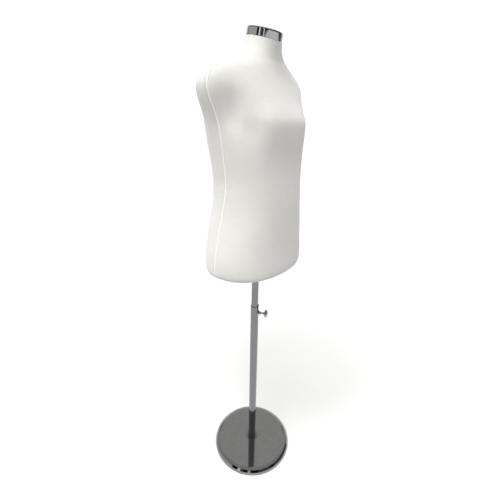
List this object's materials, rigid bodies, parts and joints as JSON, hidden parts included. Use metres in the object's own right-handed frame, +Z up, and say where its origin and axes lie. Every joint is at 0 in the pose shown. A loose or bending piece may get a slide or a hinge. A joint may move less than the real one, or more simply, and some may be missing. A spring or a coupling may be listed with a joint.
{
  "type": "torso display form",
  "caption": "Armless jersey-covered body form with a chrome neck cap, on a telescoping chrome pole clamped by a thumb screw, standing on a round weighted base.",
  "frame": {"origin": "on the floor, under the middle of the round base", "axes": "+Z up along the pole; the torso faces -Y, its own right-hand side is at -X"},
  "size_m": [0.391, 0.305, 1.4661],
  "materials": {
    "chrome": "polished",
    "steel": "satin",
    "cast_iron": "matte",
    "rubber": "matte",
    "nylon": "matte",
    "jersey": "matte",
    "seam_thread": "matte",
    "foam": "matte",
    "plywood": "satin"
  },
  "bodies": {
    "stand": {"base_shell": "chrome", "base_weight": "cast_iron", "foot_pad_1": "rubber", "foot_pad_2": "rubber", "foot_pad_3": "rubber", "foot_pad_4": "rubber", "base_washer": "steel", "base_bolt": "steel", "pole_flange": "chrome", "pole_collar": "chrome", "pole_foot_plug": "steel", "outer_pole": "chrome", "outer_pole_bush": "nylon", "screw_boss": "chrome"},
    "clamp_tip": {"screw_tip": "nylon"},
    "clamp_screw": {"screw_stud": "steel", "screw_knob": "chrome"},
    "mast": {"inner_pole": "chrome", "inner_pole_guide": "nylon"},
    "torso": {"jersey_front": "jersey", "jersey_back": "jersey", "seam_left": "seam_thread", "seam_right": "seam_thread", "torso_core": "foam", "bottom_board": "plywood", "pole_socket": "steel", "socket_screw_1": "steel", "socket_screw_2": "steel", "socket_screw_3": "steel", "socket_screw_4": "steel", "neck_cap": "chrome"}
  },
  "joints": [
    {"name": "clamp_travel", "type": "slide", "parent": "stand", "child": "clamp_tip", "axis": [0.5, -0.866, 0], "range_m": [0, 0.00501]},
    {"name": "clamp_turn", "type": "hinge", "parent": "clamp_tip", "child": "clamp_screw", "pos_m": [0, 0, 0.6295], "axis": [0.5, -0.866, 0], "range_deg": [0, 1800]},
    {"name": "mast_slide", "type": "slide", "parent": "stand", "child": "mast", "axis": [0, 0, 1], "range_m": [-0.15, 0.22]},
    {"name": "torso_swivel", "type": "hinge", "parent": "mast", "child": "torso", "pos_m": [0, 0, 0.9], "axis": [0, 0, 1], "continuous": true}
  ],
  "couplings": [
    {"joint": "clamp_travel", "follows": "clamp_turn", "m_per_rad": 0.00015915}
  ]
}
